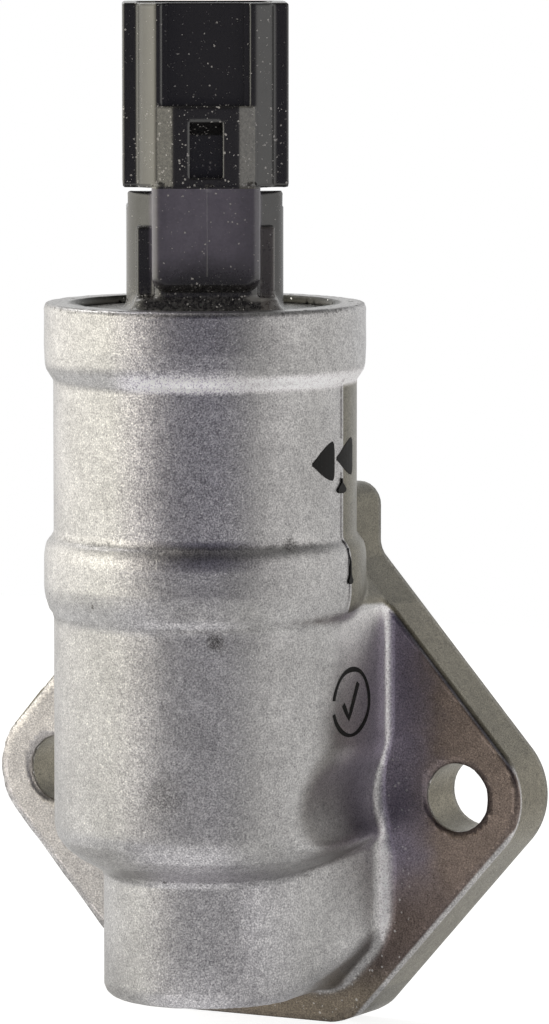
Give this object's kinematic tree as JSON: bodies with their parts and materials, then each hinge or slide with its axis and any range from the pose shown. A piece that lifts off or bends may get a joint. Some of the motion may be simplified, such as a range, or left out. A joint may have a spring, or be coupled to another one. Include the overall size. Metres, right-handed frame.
{
  "type": "idle air control valve",
  "caption": "Solenoid air valve in a die-cast body with a two-bolt diamond flange, ports in its mounting face and an upright blade connector.",
  "frame": {"origin": "centre of the mounting face, on the line of the two bolt holes", "axes": "+Z along the valve's axis towards the connector, +Y outward normal of the mounting face"},
  "size_m": [0.0606, 0.0334, 0.1046],
  "materials": {
    "cast_aluminium": "shot-blasted die casting",
    "black_moulding": "satin glass-filled nylon",
    "tinned_brass": "tin plated",
    "seal_rubber": "matt",
    "spring_steel": "drawn",
    "magnet_steel": "zinc plated",
    "ground_steel": "ground",
    "turned_brass": "turned",
    "bush_bronze": "sintered",
    "copper_wire": "enamelled",
    "bobbin_moulding": "moulded"
  },
  "bodies": {
    "valve_body": {"housing": "cast_aluminium", "end_cap": "black_moulding", "terminal_left": "tinned_brass", "terminal_right": "tinned_brass", "cap_o_ring": "seal_rubber", "wave_washer": "spring_steel", "pole_piece": "magnet_steel", "upper_bush": "bush_bronze", "yoke": "magnet_steel", "bobbin": "bobbin_moulding", "coil_winding": "copper_wire", "flux_plate": "magnet_steel", "guide_tube": "bush_bronze", "coil_gasket": "seal_rubber", "spring_plate": "spring_steel", "seat_ring": "turned_brass", "return_spring": "spring_steel", "balance_spring": "spring_steel", "lower_bush": "bush_bronze", "port_seal": "seal_rubber"},
    "moving_valve": {"armature": "magnet_steel", "spindle": "ground_steel", "valve_head": "turned_brass", "head_facing": "seal_rubber", "head_clip": "spring_steel"}
  },
  "joints": [
    {"name": "valve_lift", "type": "slide", "parent": "valve_body", "child": "moving_valve", "axis": [0, 0, 1], "range_m": [0, 0.0035], "stiffness_N_per_m": 800, "springref_m": -0.004, "deforming": ["return_spring", "balance_spring"]}
  ]
}
